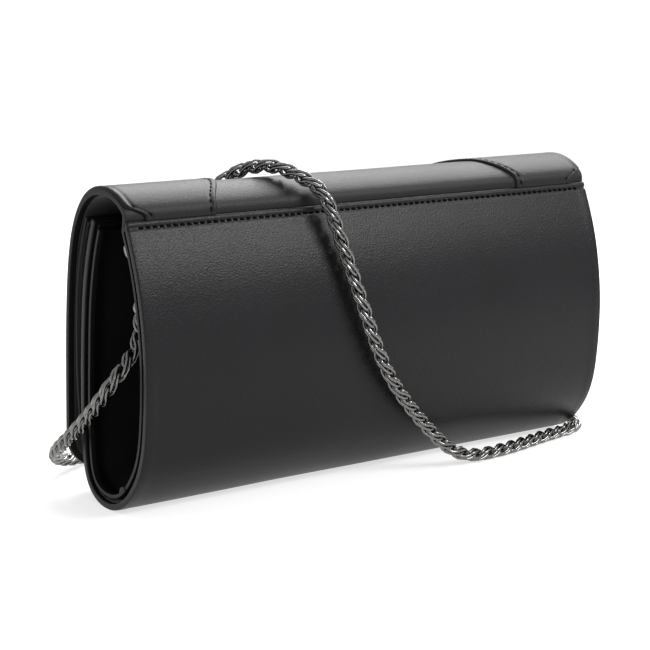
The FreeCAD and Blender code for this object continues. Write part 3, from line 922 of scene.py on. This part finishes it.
def overlay_edges(s, swept):
    """The inner and outer X of an overlay at a distance along the flap, counted from the middle.

    The swept one turns towards the middle at the ridge, the other one lower down.
    """
    y, z = flap_line.at(s)
    slanting = y <= 0 and z <= SLANT_TOP
    share = (SLANT_TOP - z) / SLANT_FALL
    inner = INNER_AT_SEAM + (INNER_AT_RIDGE - INNER_AT_SEAM) * ramp(s, SEAM_TOP, RIDGE_S)
    if swept:
        slant = -16.0 + 0.55 * (z - 5.0)
        inner += (slant - inner) * ramp(s, RIDGE_S - 2.0, RIDGE_S + 16.0)
    elif slanting:
        inner = INNER_AT_RIDGE - share * INNER_SHIFT
    outer = OUTER_EDGE - 9.0 * (1.0 - ramp(s, SEAM_TOP, SEAM_TOP + 7.0)) ** 2
    if slanting:
        outer = OUTER_EDGE - share * OUTER_SHIFT
    return inner, outer


def overlay(side_name, sign, base):
    """A strap of leather laid over the flap and sewn along its edges."""
    low, high = SEAM_TOP - 1.6, flap_line.length - 0.6
    swept = sign < 0

    def place(s, u, side):
        inner, outer = overlay_edges(s, swept)
        inset = flap_half_width(s, 0.3)
        left, right = (inner, min(outer, inset)) if sign > 0 else (-min(outer, inset), -inner)
        x = left + (right - left) * u
        near = min(x - left, right - x, high - s)
        rise = base(x, s)
        if side == 0:
            t = min(max(near / OVERLAY_EDGE, 0.0), 1.0)
            rise += OVERLAY_THICK * math.sqrt(max(1.0 - (1.0 - t) ** 2, 0.0))
            rise -= 0.38 * bell(near - OVERLAY_STITCH, 0.7)
            rise += 0.10 * bell(near - OVERLAY_STITCH / 2, 0.8)
        return (x, *flap_line.at(s, 0.12 - rise))

    rim = [0.0, 0.003, 0.010, 0.02, 0.032, 0.045, 0.058, 0.07, 0.085]
    columns = rim + [0.085 + 0.83 * k / 40 for k in range(1, 40)] + [1 - r for r in
                                                                     reversed(rim)]
    rows = [low, low + 0.2, low + 0.6, low + 1.2, low + 2.0]
    rows += spaced(low + 3.0, high - 3.0, 1.3)
    rows += [high - 2.0, high - 1.2, high - 0.6, high - 0.2, high]
    piece = thick_sheet("flap_overlay_" + side_name + "_leather", place, rows, columns,
                        flap_skin, body=None, rim=0.0)
    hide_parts("flap_overlay_" + side_name)
    bend_with_flap(piece)

    row = []
    s = low + 2.4
    while s < high - 2:
        inner, outer = overlay_edges(s, swept)
        ahead = overlay_edges(s + 1.0, swept)
        lines = [(inner + OVERLAY_STITCH, ahead[0] + OVERLAY_STITCH)]
        if outer < flap_half_width(s) - 1:
            lines.append((outer - OVERLAY_STITCH, ahead[1] - OVERLAY_STITCH))
        for x, x_ahead in lines:
            here = Vector((sign * x, *flap_line.at(s, -1.0 - base(sign * x, s))))
            there = Vector((sign * x_ahead,
                            *flap_line.at(s + 1.0, -1.0 - base(sign * x_ahead, s + 1.0))))
            row.append((here, there - here, flap_line.outward(s)))
        tilt = math.hypot(1.0, ahead[0] - inner)
        s += STITCH_PITCH / tilt
    sewing = stitches("overlay_" + side_name + "_stitches", row, thread, body=None, width=0.9)
    bend_with_flap(sewing)


def over_left(x, s):
    """How far the +X overlay rises where it crosses the other one."""
    y, z = flap_line.at(s)
    if y > -10:
        return 0.0
    inner, outer = overlay_edges(s, True)
    return OVERLAY_THICK * ramp(min(x + outer, -inner - x), -2.0, 2.0)


# ------------------------------------------------------------------ hardware finishes
def dress_cad_nodes():
    """Better materials for the nodes that stay visible."""
    finishes = {
        "gunmetal": gunmetal("fitting_metal", (0.24, 0.235, 0.235), 0.12, 0.26),
        "snap": gunmetal("snap_plating", (0.36, 0.36, 0.37), 0.22, 0.36),
    }
    fitted = ["strap_ring", "snap_hook", "hook_gate", "chain_eye"]
    metal = [f"{n}_{side}" for n in fitted for side in ("right", "left")]
    groups = {
        "gunmetal": metal + ["zip_slider", "zip_pull", "zip_teeth"],
        "snap": ["snap_socket", "snap_stud", "snap_socket_washer", "snap_stud_washer"],
    }
    for finish_name, nodes in groups.items():
        for node in nodes:
            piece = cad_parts[node]
            piece.data.materials.clear()
            piece.data.materials.append(finishes[finish_name])
    for node in ("front_board", "back_board", "bottom_board"):
        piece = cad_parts[node]
        piece.data.materials.clear()
        piece.data.materials.append(board_paper)


def strap_tabs():
    """The leather loops that hold the rings, with rounded edges."""
    for side_name in ("right", "left"):
        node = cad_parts["strap_tab_" + side_name]
        mesh = node.data.copy()
        mesh.materials.clear()
        piece = finish_sheet("strap_tab_" + side_name + "_leather", mesh, edge_skin, "root",
                             0.35, 3, angle=40.0)
        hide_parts("strap_tab_" + side_name)


body_wrap()
lining_sheets()
gusset("right", 1)
gusset("left", -1)
front_pocket()
pocket_panels()
flap()
overlay("left", -1, lambda x, s: 0.0)
overlay("right", 1, over_left)
strap_tabs()
dress_cad_nodes()


# ------------------------------------------------------------------ stage and light
FLOOR_HALF = 70.0             # metres
FLOOR_GREY = 0.42
FLOOR_GLOW = 0.66             # with the surroundings' light it makes an even white
SURROUNDINGS = 0.82
MIDDLE_OF_BAG = (0, 0, 0.12)
NEAR_END = (0.08, 0.02, 0.12)


def make_stage():
    """A plain white floor."""
    size = FLOOR_HALF
    mesh = bpy.data.meshes.new("floor")
    mesh.from_pydata([(-size, -size, 0), (size, -size, 0), (size, size, 0), (-size, size, 0)],
                     [], [(0, 1, 2, 3)])
    floor = bpy.data.objects.new("floor", mesh)
    scene.collection.objects.link(floor)
    n = Nodes("floor_paint")
    floor.data.materials.append(n.finish(
        Base_Color=(FLOOR_GREY, FLOOR_GREY, FLOOR_GREY, 1.0), Roughness=0.9,
        Specular_IOR_Level=0.05, Emission_Color=(1.0, 1.0, 1.0, 1.0),
        Emission_Strength=FLOOR_GLOW))


def area_light(name, place, target, size, power):
    data = bpy.data.lights.new(name, "AREA")
    data.shape = "RECTANGLE"
    data.size, data.size_y = size
    data.energy = power
    light = bpy.data.objects.new(name, data)
    light.location = place
    aim = Vector(target) - Vector(place)
    light.rotation_euler = aim.to_track_quat("-Z", "Y").to_euler()
    scene.collection.objects.link(light)


def make_light():
    """White surroundings, with one large soft box over the far front and one high at the back."""
    world = bpy.data.worlds.new("studio")
    world.use_nodes = True
    background = world.node_tree.nodes["Background"]
    background.inputs["Color"].default_value = (0.98, 0.99, 1.0, 1)
    background.inputs["Strength"].default_value = SURROUNDINGS
    scene.world = world
    area_light("top_box", (-0.55, -0.42, 0.85), MIDDLE_OF_BAG, (1.0, 0.6), 20.0)
    area_light("side_box", (-0.45, 0.77, 0.70), NEAR_END, (0.5, 0.3), 9.5)
    scene.view_settings.view_transform = "Standard"


make_stage()
make_light()
